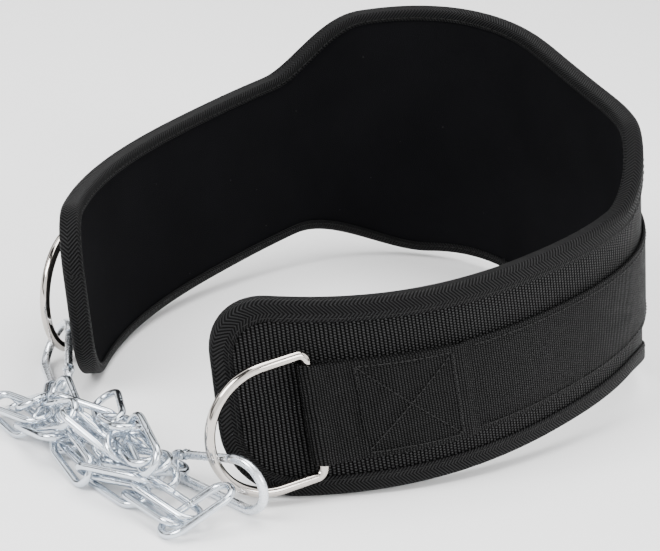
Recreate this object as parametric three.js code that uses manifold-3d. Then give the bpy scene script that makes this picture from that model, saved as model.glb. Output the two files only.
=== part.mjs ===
import * as THREE from "three";
import { mergeVertices } from "three/addons/utils/BufferGeometryUtils.js";
import Module from "manifold-3d";

// A padded weightlifting belt with a chain, all sizes in millimetres.
// X runs across the belt, +Y to its back, +Z up. The belt stands on its lower edge.
// Along the belt, s is measured from the middle of the back, v up from the middle line,
// and off outwards from the middle of the thickness.

// Belt, laid out flat
const BELT_LENGTH = 840;
const BACK_RISE = 75;
const BACK_DROP = 79;
const WING_RISE = 51.5;
const WING_DROP = 46;
const CORNER_RADIUS = 31;
const TOP_WIDE_HALF = 109;
const BOTTOM_WIDE_HALF = 79.5;
const FLARE_END = 175;

// Layers
const PAD_THICKNESS = 5.6;
const SHELL_THICKNESS = 1.5;
const TAPE_THICKNESS = 1;
const LAYER_GAP = 0.3;
const TAPE_OUTER_WIDTH = 10;
const TAPE_INNER_WIDTH = 6;

// Strap
const STRAP_WIDTH = 50;
const STRAP_THICKNESS = 1.6;
const STRAP_TAIL = 74;
const STRAP_HEIGHT = -2.2;
const STRAP_GAP = 0.5;
const BAR_AT_RIGHT = 377.5;
const BAR_AT_LEFT = 343.6;

// Rings
const RING_WIRE = 5;
const RING_SIDE_GAP = 3;
const RING_LEG = 21;
const RING_FILLET = 4;
const RING_SAG = 0.4;

// Snap hooks
const HOOK_LENGTH = 60;
const HOOK_WIDTH = 30;
const HOOK_NECK = 18;
const HOOK_WIRE = 4.5;
const GATE_WIRE = 4;
const GATE_CLEARANCE = 0.5;
const PIN_DIAMETER = 1.6;
const PIN_CLEARANCE = 0.1;
const TONGUE_THICKNESS = 1.4;

// Chain
const LINK_LENGTH = 40;
const LINK_WIDTH = 17;
const LINK_WIRE = 3.6;

// Smoothness of the meshes
const WIRE_SIDES = 8;
const LINK_SIDES = 6;
const LINK_TURN_STEPS = 6;
const CORNER_STEPS = 6;
const STATION_STEP_BACK = 8.5;
const STATION_STEP_WING = 15;
const CURVED_HALF_SHARE = 0.48;

// How the belt curls in plan: the heading in radians at even shares of its length, left tip first.
const HEADINGS = [
  2.58, 2.43, 2.256, 2.088, 1.958, 1.874, 1.744, 1.465, 0.985, 0.338, -0.14, -0.198, -0.226,
  -0.612, -1.081, -1.307, -1.397, -1.528, -1.705, -1.893, -2.056,
];
// How the wall leans outwards at the top, in degrees: at the middle, per share, per share squared.
const LEAN = { middle: 3.54, slope: -6.89, curve: -11.43 };
// How the belt stands: tipped towards the opening, tipped sideways, and its tips lifted.
const STAND = { forward: 16.63, sideways: -2.83, tipLift: 60 };

// The two ends: where each ring and its snap hook hang. side is +1 for the right end.
// barAt: distance of the ring's bar from the middle of the back. slant: the bar's slant.
// swing: how far the ring stands off the belt, in radians.
// hook: x and y from the middle of the back, height above the floor, then heading, dip and roll
// in degrees of a snap hook whose wide end points along its own X.
const ENDS = [
  {
    name: "right",
    side: 1,
    barAt: BAR_AT_RIGHT,
    slant: 0.023,
    swing: 0.151,
    hook: [156, -313.6, 11.9, 12.9, -9.3, 103.5],
  },
  {
    name: "left",
    side: -1,
    barAt: BAR_AT_LEFT,
    slant: -0.028,
    swing: 0.141,
    hook: [23.1, -316.3, 12.2, 153.9, -6.4, 111.6],
  },
];

// How the chain lies, from the left hook to the right hook.
// Each row: x and y from the middle of the back, height above the floor, heading, dip, roll.
const CHAIN_LAY = [
  [54.2, -335.1, 6.5, -33.6, 6.8, -26.9],
  [78.8, -346, 4.5, -16.5, 0, 20.5],
  [106.8, -351.6, 4.7, -4.8, -0, -22.6],
  [135.4, -351.1, 4.5, 4.9, -0.1, 20.8],
  [163.4, -348.9, 4.5, 5.7, -0, -21.5],
  [181.8, -339.5, 11.3, 84.9, -30.3, -5.3],
  [165.8, -344.6, 10.7, 18.2, 10.1, -3.8],
  [141.3, -357.3, 12.3, 24.8, -8.4, -41],
  [111.4, -361.4, 10, -6, 7.8, 72.3],
  [82.6, -360.5, 9.6, -5.7, -14, -5],
  [54.9, -359.9, 5.9, -1.8, -0, 34.6],
  [56.7, -355, 11.5, -15.9, -28.1, 24.3],
  [61.8, -361.6, 12.7, 14.1, -5.2, 10.8],
  [89.7, -359.3, 20, 0.8, -28.2, 57.3],
  [116.9, -353.9, 21.7, 24.5, 20.9, -13.6],
  [142.9, -348, 19.5, 19.2, -14.5, 21.8],
  [139.4, -341.9, 16.9, 50.2, 27.4, 30.7],
  [142.9, -347.8, 25.4, -17.2, -6.4, 16.3],
  [148.5, -349.4, 30.1, -14.8, 8.6, 70.8],
  [118.9, -342.6, 26.9, -19.5, -17.1, -0.9],
  [96.1, -333.9, 21.7, -27.1, -3.9, 38.4],
  [83.9, -337.9, 16.5, 30.9, 2.1, -54],
  [69.6, -339.9, 14.2, -16.7, 8.8, 65.1],
  [93.5, -340.2, 11.1, 25.6, 12.2, 7.5],
  [107.5, -343, 12.1, 88.8, 33.1, 9.5],
  [120.8, -335.9, 9.3, 27.7, 10.8, 49.5],
  [133.1, -332, 9.2, 87.9, 8.4, -1.1],
];

const HALF_LENGTH = BELT_LENGTH / 2;
const CORE_HALF = (PAD_THICKNESS + LAYER_GAP + SHELL_THICKNESS) / 2;
const WEB_INSET = TAPE_THICKNESS + LAYER_GAP;

const clamp01 = (t) => Math.min(1, Math.max(0, t));
const smoothStep = (t) => clamp01(t) ** 2 * (3 - 2 * clamp01(t));
const radians = (degrees) => (degrees * Math.PI) / 180;

// Heading of the belt at s, smooth through the even shares of HEADINGS.
function heading(s) {
  const last = HEADINGS.length - 1;
  const at = clamp01((s / HALF_LENGTH + 1) / 2) * last;
  const i = Math.min(last - 1, Math.floor(at));
  const t = at - i;
  const row = (k) => HEADINGS[Math.min(last, Math.max(0, k))];
  const before = i > 0 ? row(i - 1) : 2 * row(0) - row(1);
  const after = i < last - 1 ? row(i + 2) : 2 * row(last) - row(last - 1);
  const slopeA = (row(i + 1) - before) / 2;
  const slopeB = (after - row(i)) / 2;
  const rise = row(i + 1) - row(i);
  return (
    row(i) + slopeA * t + (3 * rise - 2 * slopeA - slopeB) * t * t +
    (slopeA + slopeB - 2 * rise) * t ** 3
  );
}

// Plan position of the middle line at s, summed from the middle of the back.
function planPoint(s) {
  const steps = Math.max(1, Math.ceil(Math.abs(s)));
  const h = s / steps;
  let x = 0;
  let y = 0;
  for (let k = 0; k < steps; k++) {
    const psi = heading(h * (k + 0.5));
    x += Math.cos(psi) * h;
    y += Math.sin(psi) * h;
  }
  return { x, y, psi: heading(s) };
}

// Stations along the belt: close together where the back curves, and round the tip corners.
function stationList() {
  const half = [0];
  const curved = HALF_LENGTH * CURVED_HALF_SHARE;
  const straightEnd = HALF_LENGTH - CORNER_RADIUS;
  const fill = (to, step) => {
    const from = half[half.length - 1];
    const count = Math.max(1, Math.round((to - from) / step));
    for (let k = 1; k <= count; k++) half.push(from + ((to - from) * k) / count);
  };
  fill(curved, STATION_STEP_BACK);
  fill(straightEnd, STATION_STEP_WING);
  for (let k = 1; k <= CORNER_STEPS; k++) {
    half.push(straightEnd + CORNER_RADIUS * Math.sin((k / CORNER_STEPS) * (Math.PI / 2)));
  }
  return [...half.slice(1).map((s) => -s).reverse(), ...half];
}

const stations = stationList();
const frames = stations.map((s) => {
  const u = s / HALF_LENGTH;
  const lean = radians(LEAN.middle + LEAN.slope * u + LEAN.curve * u * u);
  return { ...planPoint(s), lean, lift: STAND.tipLift * u * u };
});

// A point of one station: v up the wall, off outwards.
function stationPoint({ x, y, psi, lean, lift }, v, off) {
  const out = off * Math.cos(lean) + v * Math.sin(lean);
  const up = v * Math.cos(lean) - off * Math.sin(lean) + lift;
  const forward = radians(STAND.forward);
  return new THREE.Vector3(x - Math.sin(psi) * out, y + Math.cos(psi) * out, up)
    .applyAxisAngle(new THREE.Vector3(1, 0, 0), forward)
    .applyAxisAngle(new THREE.Vector3(0, 1, 0), -radians(STAND.sideways));
}

// A point of the belt between stations, on the same facets for every layer.
function onBelt(s, v, off) {
  let i = 0;
  while (i < stations.length - 2 && stations[i + 1] < s) i++;
  const t = (s - stations[i]) / (stations[i + 1] - stations[i]);
  return stationPoint(frames[i], v, off).lerp(stationPoint(frames[i + 1], v, off), t);
}

// Height of the top edge and depth of the bottom edge at s, with the tips' round corners.
function edges(s) {
  const a = Math.abs(s);
  const wideTop = 1 - smoothStep((a - TOP_WIDE_HALF) / (FLARE_END - TOP_WIDE_HALF));
  const wideBottom = 1 - smoothStep((a - BOTTOM_WIDE_HALF) / (FLARE_END - BOTTOM_WIDE_HALF));
  const into = Math.max(0, a - (HALF_LENGTH - CORNER_RADIUS));
  const cut = CORNER_RADIUS - Math.sqrt(Math.max(0, CORNER_RADIUS ** 2 - into ** 2));
  return {
    top: WING_RISE + (BACK_RISE - WING_RISE) * wideTop - cut,
    bottom: -(WING_DROP + (BACK_DROP - WING_DROP) * wideBottom - cut),
  };
}

const outline = [
  ...stations.map((s) => [s, edges(s).top]),
  ...[...stations].reverse().map((s) => [s, edges(s).bottom]),
];

// The outline moved inwards by a distance. Away from the corners each point stays on its station.
function inset(distance) {
  const count = outline.length;
  return outline.map((point, i) => {
    const before = outline[(i + count - 1) % count];
    const after = outline[(i + 1) % count];
    if (Math.abs(point[0]) < HALF_LENGTH - CORNER_RADIUS + 0.1) {
      const slope = (after[1] - before[1]) / (after[0] - before[0]);
      return [point[0], point[1] - Math.sign(point[1]) * distance * Math.hypot(1, slope)];
    }
    const normal = (from, to) => {
      const length = Math.hypot(to[0] - from[0], to[1] - from[1]);
      return [(to[1] - from[1]) / length, -(to[0] - from[0]) / length];
    };
    const a = normal(before, point);
    const b = normal(point, after);
    const scale = distance / (1 + a[0] * b[0] + a[1] * b[1]);
    return [point[0] + (a[0] + b[0]) * scale, point[1] + (a[1] + b[1]) * scale];
  });
}

// A closed mesh from points and triangles, turned to face outwards.
function solidMesh(points, triangles) {
  const volume = triangles.reduce((sum, [a, b, c]) => {
    return sum + points[a].dot(new THREE.Vector3().crossVectors(points[b], points[c]));
  }, 0);
  const faces = volume < 0 ? triangles.map(([a, b, c]) => [a, c, b]) : triangles;
  const geometry = new THREE.BufferGeometry();
  geometry.setAttribute(
    "position",
    new THREE.Float32BufferAttribute(points.flatMap((p) => [p.x, p.y, p.z]), 3),
  );
  geometry.setIndex(faces.flat());
  return geometry;
}

// Skin over a row of equal sections: closed joins the last to the first, otherwise capped.
function loft(sections, closed) {
  const size = sections[0].length;
  const triangles = [];
  const rows = closed ? sections.length : sections.length - 1;
  for (let i = 0; i < rows; i++) {
    const next = ((i + 1) % sections.length) * size;
    for (let k = 0; k < size; k++) {
      const a = i * size + k;
      const b = i * size + ((k + 1) % size);
      const c = next + k;
      const d = next + ((k + 1) % size);
      triangles.push([a, b, d], [a, d, c]);
    }
  }
  if (!closed) {
    const end = (sections.length - 1) * size;
    for (let k = 1; k < size - 1; k++) {
      triangles.push([0, k + 1, k], [end, end + k, end + k + 1]);
    }
  }
  return solidMesh(sections.flat(), triangles);
}

// A slab of the belt between two distances off its middle, inside the inset outline.
// rows: heights at which the outer face is split, so that what lies on it follows the same facets.
function slab(distance, offLow, offHigh, rows = []) {
  const rim = inset(distance);
  const count = rim.length;
  const points = [offHigh, offLow].flatMap((off) => rim.map(([s, v]) => onBelt(s, v, off)));
  const triangles = [];
  for (let i = 0; i < count; i++) {
    const j = (i + 1) % count;
    triangles.push([i, j, count + j], [i, count + j, count + i]);
  }
  const splitAt = (i) => i > CORNER_STEPS && i < stations.length - 1 - CORNER_STEPS;
  const columns = stations.map((s, i) => {
    const inner = splitAt(i) ? rows.map((v) => points.push(onBelt(s, v, offHigh)) - 1) : [];
    return [i, ...inner, count - 1 - i];
  });
  for (let i = 0; i < stations.length - 1; i++) {
    const here = columns[i];
    const next = columns[i + 1];
    const [a, c] = [here[0], here[here.length - 1]];
    const [b, d] = [next[0], next[next.length - 1]];
    triangles.push([count + a, count + b, count + c], [count + b, count + d, count + c]);
    if (here.length === next.length) {
      for (let k = 0; k < here.length - 1; k++) {
        triangles.push([here[k], here[k + 1], next[k]], [here[k + 1], next[k + 1], next[k]]);
      }
    } else if (here.length < next.length) {
      for (let k = 0; k < next.length - 1; k++) triangles.push([c, next[k + 1], next[k]]);
      triangles.push([a, c, b]);
    } else {
      for (let k = 0; k < here.length - 1; k++) triangles.push([here[k], here[k + 1], b]);
      triangles.push([c, d, b]);
    }
  }
  return solidMesh(points, triangles);
}

// The folded tape round the whole edge: a wide leg outside, a narrow leg inside.
function bindingGeometry() {
  const face = CORE_HALF + LAYER_GAP;
  const section = [
    [0, face + TAPE_THICKNESS],
    [TAPE_OUTER_WIDTH, face + TAPE_THICKNESS],
    [TAPE_OUTER_WIDTH, face],
    [TAPE_THICKNESS, face],
    [TAPE_THICKNESS, -face],
    [TAPE_INNER_WIDTH, -face],
    [TAPE_INNER_WIDTH, -face - TAPE_THICKNESS],
    [0, -face - TAPE_THICKNESS],
  ];
  const lines = section.map(([distance]) => inset(distance));
  const sections = outline.map((_, i) =>
    section.map(([, off], k) => onBelt(lines[k][i][0], lines[k][i][1], off)),
  );
  return loft(sections, true);
}

// Distances of the strap's layers and of the rings' bars off the middle of the belt
const LOWER_LAYER = CORE_HALF + STRAP_GAP + STRAP_THICKNESS / 2;
const UPPER_LAYER = LOWER_LAYER + STRAP_THICKNESS + LAYER_GAP;
const BAR_OFF = LOWER_LAYER + STRAP_THICKNESS / 2 + STRAP_GAP + RING_WIRE / 2;
const LOOP_RADIUS = BAR_OFF - LOWER_LAYER;

// Side view of one strap end in s and off, from the tail's end round the bar to the single layer.
function strapEnd({ barAt }) {
  const tailEnd = barAt - STRAP_TAIL;
  const between = (from, to) => stations.filter((s) => s > from + 2 && s < to - 2);
  const path = [[tailEnd, LOWER_LAYER]];
  for (const s of between(tailEnd, barAt)) path.push([s, LOWER_LAYER]);
  const turn = radians(125);
  const arcSteps = 9;
  for (let k = 0; k <= arcSteps; k++) {
    const angle = -Math.PI / 2 + ((turn + Math.PI / 2) * k) / arcSteps;
    path.push([barAt + LOOP_RADIUS * Math.cos(angle), BAR_OFF + LOOP_RADIUS * Math.sin(angle)]);
  }
  const [s, off] = path[path.length - 1];
  const foot = s + ((off - UPPER_LAYER) * Math.sin(turn)) / Math.cos(turn);
  path.push([foot, UPPER_LAYER]);
  for (const at of between(tailEnd - 3, foot).reverse()) path.push([at, UPPER_LAYER]);
  path.push([tailEnd - 3, UPPER_LAYER], [tailEnd - 9, LOWER_LAYER]);
  return path;
}

function strapGeometry() {
  const [right, left] = ENDS;
  const a = strapEnd(right);
  const b = strapEnd(left).map(([s, off]) => [-s, off]).reverse();
  const middle = stations
    .filter((s) => s < a[a.length - 1][0] - 2 && s > b[0][0] + 2)
    .reverse()
    .map((s) => [s, LOWER_LAYER]);
  const path = [...a, ...middle, ...b];
  const unit = (from, to) => {
    const length = Math.hypot(to[0] - from[0], to[1] - from[1]);
    return [-(to[1] - from[1]) / length, (to[0] - from[0]) / length];
  };
  const sections = path.map((point, i) => {
    const n1 = unit(path[Math.max(0, i - 1)], path[Math.max(1, i)]);
    const n2 = unit(path[Math.min(path.length - 2, i)], path[Math.min(path.length - 1, i + 1)]);
    const scale = STRAP_THICKNESS / 2 / (1 + n1[0] * n2[0] + n1[1] * n2[1]);
    const end = point[0] > 0 ? right : left;
    const slantShare = smoothStep((Math.abs(point[0]) - end.barAt + STRAP_TAIL) / (STRAP_TAIL - 12));
    return [
      [1, 1],
      [1, -1],
      [-1, -1],
      [-1, 1],
    ].map(([sign, half]) => {
      const v = STRAP_HEIGHT + (half * STRAP_WIDTH) / 2;
      const shift = end.side * end.slant * slantShare * (v - STRAP_HEIGHT + RING_SAG);
      return onBelt(
        point[0] + sign * scale * (n1[0] + n2[0]) + shift,
        v,
        point[1] + sign * scale * (n1[1] + n2[1]),
      );
    });
  });
  return loft(sections, false);
}

// Round wire along a flat path of [x, y] points.
function wire(path, diameter, sides, closed) {
  const count = path.length;
  const pick = (i) => path[closed ? (i + count) % count : Math.min(count - 1, Math.max(0, i))];
  const sections = path.map((point, i) => {
    const unit = (from, to) => {
      const length = Math.hypot(to[0] - from[0], to[1] - from[1]) || 1;
      return [(to[1] - from[1]) / length, -(to[0] - from[0]) / length];
    };
    const a = unit(pick(i - 1), point);
    const b = unit(point, pick(i + 1));
    const sum = [a[0] + b[0], a[1] + b[1]];
    const length = Math.hypot(...sum);
    return Array.from({ length: sides }, (_, k) => {
      const angle = ((k + 0.5) * 2 * Math.PI) / sides;
      const out = (Math.cos(angle) * diameter) / 2 / length;
      const up = (Math.sin(angle) * diameter) / 2;
      return new THREE.Vector3(point[0] + sum[0] * out, point[1] + sum[1] * out, up);
    });
  });
  return loft(sections, closed);
}

// Points of an arc about a centre, both ends included.
function arc(x, y, radius, from, to, steps) {
  return Array.from({ length: steps + 1 }, (_, k) => {
    const angle = from + ((to - from) * k) / steps;
    return [x + radius * Math.cos(angle), y + radius * Math.sin(angle)];
  });
}

// A D-ring in its own plane: bar along Y through the origin, bow towards +X.
function ringGeometry() {
  const half = STRAP_WIDTH / 2 + RING_SIDE_GAP + RING_WIRE / 2;
  const inner = half - RING_FILLET;
  const quarter = Math.PI / 2;
  const path = [
    ...arc(RING_FILLET, -inner, RING_FILLET, -2 * quarter, -quarter, 3),
    ...arc(RING_LEG, 0, half, -quarter, quarter, 20),
    ...arc(RING_FILLET, inner, RING_FILLET, quarter, 2 * quarter, 3),
  ];
  return wire(path, RING_WIRE, WIRE_SIDES, true);
}

// The ring's own axes on the belt: X along the bow, Y up the bar inside the strap's loop.
function ringMatrix({ side, barAt, slant, swing }) {
  const onBar = (v) => {
    return onBelt(side * (barAt + slant * (v - STRAP_HEIGHT + RING_SAG)), v, BAR_OFF);
  };
  const low = onBar(STRAP_HEIGHT - STRAP_WIDTH / 2);
  const high = onBar(STRAP_HEIGHT + STRAP_WIDTH / 2);
  const bar = high.clone().sub(low).normalize();
  const origin = low.clone().lerp(high, 0.5).addScaledVector(bar, -RING_SAG);
  const middle = onBelt(side * barAt, STRAP_HEIGHT, BAR_OFF);
  const off = onBelt(side * barAt, STRAP_HEIGHT, BAR_OFF + 1).sub(middle);
  const bow = new THREE.Vector3().crossVectors(off, bar).multiplyScalar(side).normalize();
  off.crossVectors(bar, bow).multiplyScalar(side);
  bow.multiplyScalar(Math.cos(swing)).addScaledVector(off, Math.sin(swing));
  const normal = new THREE.Vector3().crossVectors(bow, bar);
  return new THREE.Matrix4().makeBasis(bow, bar, normal).setPosition(origin);
}

const wasm = await Module();
wasm.setup();

function toSolid(geometry) {
  const bare = new THREE.BufferGeometry();
  const source = geometry.index ? geometry.toNonIndexed() : geometry;
  bare.setAttribute("position", source.getAttribute("position"));
  const merged = mergeVertices(bare, 1e-4);
  return new wasm.Manifold(
    new wasm.Mesh({
      numProp: 3,
      vertProperties: new Float32Array(merged.attributes.position.array),
      triVerts: new Uint32Array(merged.index.array),
    }),
  );
}

function fromSolid(solid) {
  const mesh = solid.getMesh();
  const geometry = new THREE.BufferGeometry();
  geometry.setAttribute("position", new THREE.Float32BufferAttribute(mesh.vertProperties, 3));
  geometry.setIndex(Array.from(mesh.triVerts));
  return geometry;
}

const HOOK_WIDE_RADIUS = (HOOK_WIDTH - HOOK_WIRE) / 2;
const HOOK_NECK_RADIUS = (HOOK_NECK - HOOK_WIRE) / 2;
const HOOK_SPAN = HOOK_LENGTH - HOOK_WIRE - HOOK_WIDE_RADIUS - HOOK_NECK_RADIUS;
const HOOK_TAPER = Math.asin((HOOK_WIDE_RADIUS - HOOK_NECK_RADIUS) / HOOK_SPAN);
const HINGE_FROM_NECK = 2.7;
const NOSE_LENGTH = 3;
const PIN_HEAD = 1.4;

// Point on the gate's line, at a distance from where it leaves the neck's round.
function gateLine(distance) {
  const angle = Math.PI / 2 + HOOK_TAPER;
  const x = -HOOK_SPAN / 2 + HOOK_NECK_RADIUS * Math.cos(angle);
  const y = HOOK_NECK_RADIUS * Math.sin(angle);
  return [x + distance * Math.cos(HOOK_TAPER), y + distance * Math.sin(HOOK_TAPER)];
}
const GATE_LINE_LENGTH = HOOK_SPAN * Math.cos(HOOK_TAPER);

// A short round bar across the hook's plane.
function crossBar([x, y], diameter, low, high, sides) {
  const bar = new THREE.CylinderGeometry(diameter / 2, diameter / 2, high - low, sides);
  bar.rotateX(Math.PI / 2);
  bar.translate(x, y, (low + high) / 2);
  return toSolid(bar);
}

// A flat plate or slot along the gate's line.
function gatePlate(from, to, width, thickness) {
  const plate = new THREE.BoxGeometry(to - from, width, thickness);
  const [x, y] = gateLine((from + to) / 2);
  plate.rotateZ(HOOK_TAPER);
  plate.translate(x, y, 0);
  return toSolid(plate);
}

function hookGeometry() {
  const quarter = Math.PI / 2;
  const path = [
    ...arc(-HOOK_SPAN / 2, 0, HOOK_NECK_RADIUS, quarter + HOOK_TAPER, 3 * quarter - HOOK_TAPER, 7),
    ...arc(HOOK_SPAN / 2, 0, HOOK_WIDE_RADIUS, -quarter - HOOK_TAPER, quarter + HOOK_TAPER, 13),
    gateLine(GATE_LINE_LENGTH - NOSE_LENGTH),
  ];
  const pin = gateLine(HINGE_FROM_NECK);
  const earTop = GATE_WIRE / 2 + LAYER_GAP;
  return fromSolid(
    toSolid(wire(path, HOOK_WIRE, WIRE_SIDES, false))
      .add(gatePlate(-1, HINGE_FROM_NECK, 3, TONGUE_THICKNESS))
      .add(crossBar(pin, 3, -TONGUE_THICKNESS / 2, TONGUE_THICKNESS / 2, 12))
      .add(crossBar(pin, PIN_DIAMETER, -earTop - 0.1, earTop + 0.1, 12))
      .add(crossBar(pin, 2 * PIN_HEAD, earTop, earTop + 0.7, 12))
      .add(crossBar(pin, 2 * PIN_HEAD, -earTop - 0.7, -earTop, 12)),
  );
}

function gateGeometry() {
  const pin = gateLine(HINGE_FROM_NECK);
  const tip = gateLine(GATE_LINE_LENGTH - NOSE_LENGTH - GATE_CLEARANCE);
  const slotEnd = HINGE_FROM_NECK + 2.3;
  return fromSolid(
    toSolid(wire([pin, tip], GATE_WIRE, WIRE_SIDES, false))
      .add(crossBar(pin, GATE_WIRE, -GATE_WIRE / 2, GATE_WIRE / 2, 16))
      .subtract(gatePlate(-2, slotEnd, GATE_WIRE + 2, TONGUE_THICKNESS + 0.5))
      .subtract(crossBar(pin, PIN_DIAMETER + 2 * PIN_CLEARANCE, -GATE_WIRE, GATE_WIRE, 12)),
  );
}

function linkGeometry() {
  const radius = (LINK_WIDTH - LINK_WIRE) / 2;
  const centre = (LINK_LENGTH - LINK_WIDTH) / 2;
  const quarter = Math.PI / 2;
  const path = [
    ...arc(centre, 0, radius, -quarter, quarter, LINK_TURN_STEPS),
    ...arc(-centre, 0, radius, quarter, 3 * quarter, LINK_TURN_STEPS),
  ];
  return wire(path, LINK_WIRE, LINK_SIDES, true);
}

const part = new THREE.Group();
part.name = "weightlifting_belt";

function addPiece(name, geometry, colour, roughness, metalness, matrix) {
  const material = new THREE.MeshStandardMaterial({ color: colour, roughness, metalness });
  const mesh = new THREE.Mesh(geometry, material);
  mesh.name = name;
  if (matrix) mesh.applyMatrix4(matrix);
  part.add(mesh);
  return mesh;
}

// Place of a piece on the floor, from a row of x, y, height, heading, dip and roll.
function layMatrix([x, y, height, turn, dip, roll], floor) {
  const angles = new THREE.Euler(radians(roll), radians(dip), radians(turn), "ZYX");
  return new THREE.Matrix4().makeRotationFromEuler(angles).setPosition(x, y, floor + height);
}

addPiece("lining_pad", slab(WEB_INSET, -CORE_HALF, PAD_THICKNESS - CORE_HALF), 0x141416, 0.9, 0);
const strapRows = [STRAP_HEIGHT + STRAP_WIDTH / 2, STRAP_HEIGHT - STRAP_WIDTH / 2];
const shell = slab(WEB_INSET, CORE_HALF - SHELL_THICKNESS, CORE_HALF, strapRows);
addPiece("outer_shell", shell, 0x1b1b1d, 0.85, 0);
const binding = addPiece("edge_binding", bindingGeometry(), 0x17171a, 0.8, 0);
addPiece("main_strap", strapGeometry(), 0x1a1a1c, 0.8, 0);

binding.geometry.computeBoundingBox();
const floor = binding.geometry.boundingBox.min.z;

for (const end of ENDS) {
  addPiece("d_ring_" + end.name, ringGeometry(), 0xd8d6d2, 0.18, 1, ringMatrix(end));
  const lay = layMatrix(end.hook, floor);
  addPiece("snap_hook_" + end.name, hookGeometry(), 0xc9ced4, 0.3, 1, lay);
  addPiece("gate_" + end.name, gateGeometry(), 0xc3c9d0, 0.3, 1, lay);
}
CHAIN_LAY.forEach((row, i) => {
  const name = "chain_link_" + String(i + 1).padStart(2, "0");
  addPiece(name, linkGeometry(), 0xc6cdd6, 0.3, 1, layMatrix(row, floor));
});

// The origin is under the middle of the whole part, on the floor.
part.updateMatrixWorld(true);
const box = new THREE.Box3().setFromObject(part, true);
part.position.set(-(box.min.x + box.max.x) / 2, -(box.min.y + box.max.y) / 2, -box.min.z);
part.updateMatrixWorld(true);

export default part;
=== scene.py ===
import math
import random

import bpy
import numpy as np
from mathutils import Matrix, Vector


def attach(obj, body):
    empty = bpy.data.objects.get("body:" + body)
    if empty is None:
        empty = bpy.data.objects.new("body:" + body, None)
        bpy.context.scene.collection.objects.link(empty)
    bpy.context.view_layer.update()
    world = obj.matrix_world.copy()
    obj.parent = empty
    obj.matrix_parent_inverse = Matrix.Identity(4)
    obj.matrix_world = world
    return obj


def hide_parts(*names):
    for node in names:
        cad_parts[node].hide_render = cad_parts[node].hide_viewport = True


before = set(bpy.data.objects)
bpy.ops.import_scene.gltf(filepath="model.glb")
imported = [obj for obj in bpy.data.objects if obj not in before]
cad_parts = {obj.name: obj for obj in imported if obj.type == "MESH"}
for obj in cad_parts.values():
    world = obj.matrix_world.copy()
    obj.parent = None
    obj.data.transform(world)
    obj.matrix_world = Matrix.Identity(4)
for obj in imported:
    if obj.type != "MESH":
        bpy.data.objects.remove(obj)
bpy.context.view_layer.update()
random.seed(7)

# All sizes below are in millimetres. s runs along the belt from the middle of its back,
# v up from its middle line, off outwards from the middle of its thickness.

# Where the CAD's floor centre lies from the middle of the back
ORIGIN = np.array([-47.519233, 174.4583, 83.566948])

# Belt, laid out flat
HALF_LENGTH = 420.0
BACK_RISE = 75.0
BACK_DROP = 79.0
WING_RISE = 51.5
WING_DROP = 46.0
CORNER_RADIUS = 31.0
TOP_WIDE_HALF = 109.0
BOTTOM_WIDE_HALF = 79.5
FLARE_END = 175.0

# Layers
CORE_HALF = 3.7
PAD_THICKNESS = 5.6
SHELL_THICKNESS = 1.5
TAPE_THICKNESS = 1.0
LAYER_GAP = 0.3
TAPE_OUTER_WIDTH = 10.0
TAPE_INNER_WIDTH = 6.0
TAPE_FACE = CORE_HALF + LAYER_GAP
TAPE_TOP = TAPE_FACE + TAPE_THICKNESS

# The tape's section: a round fold, a shallow groove along each seam and softened edges
FOLD_RADIUS = 2.3
FOLD_STEPS = 6
FOLD_CLEAR = 0.1
LEG_CLEAR = 0.05
LEG_SWELL = 0.05
LEG_SWELL_FROM = 4.5
EDGE_LOW = 0.6
OUTER_EDGE_ROUND = 0.5
INNER_EDGE_ROUND = 0.4
SEAM_FROM_EDGE = 1.8
SEAM_DEPTH = 0.12
SEAM_END = 3.4

# The point of that section, on the fold, along which the cloth's pattern is measured
PATTERN_POINT = 8

# Strap: the slant is whole from SLANT_END behind the bar
STRAP_WIDTH = 50.0
STRAP_THICKNESS = 1.6
STRAP_TAIL = 74.0
STRAP_HEIGHT = -2.2
STRAP_GAP = 0.5
STRAP_EDGE_ROUND = 0.5
STRAP_EDGE_LEVEL = 0.45
SLANT_END = 12.0

# Rings, hooks and chain
RING_WIRE = 5.0
RING_SIDE_GAP = 3.0
RING_LEG = 21.0
RING_FILLET = 4.0
RING_SAG = 0.4
HOOK_LENGTH = 60.0
HOOK_WIDTH = 30.0
HOOK_NECK = 18.0
HOOK_WIRE = 4.5
GATE_WIRE = 4.0
LINK_LENGTH = 40.0
LINK_WIDTH = 17.0
LINK_WIRE = 3.6

# The hook's tongue, the rivet through it and the gate's fork round it
HINGE_FROM_NECK = 2.7
TONGUE_BACK = -1.0
TONGUE_WIDTH = 3.0
TONGUE_THICKNESS = 1.4
PIN_DIAMETER = 1.6
FORK_INSIDE = 0.95
FORK_OUTSIDE = 2.0
FORK_WIDTH = 3.4
FORK_OVERLAP = 0.6
EYE_DIAMETER = 3.9
FOOT_FROM_HINGE = 2.3
NOSE_LENGTH = 3.0
NOSE_GAP = 0.5

# Round ends of the wires: how far from the tip, and how much thinner there
NOSE_TIP = ((0.6, 0.0), (0.2, 0.3), (0.0, 1.1))
GATE_TIP = ((0.6, 0.0), (0.2, 0.3), (0.0, 1.0))
GATE_FOOT = ((0.0, 0.3), (0.2, 0.0))

# Rivet head: diameter and height above the rivet's shaft
RIVET_HEAD = ((2.8, 0.0), (2.7, 0.35), (2.1, 0.6), (1.1, 0.7))

# Weld of a link: place along its side, and the wire's thickness there as a share
WELD = ((2.2, 1.0), (1.2, 0.9), (0.5, 0.99), (-0.5, 0.99), (-1.2, 0.9), (-2.2, 1.0))

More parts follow.
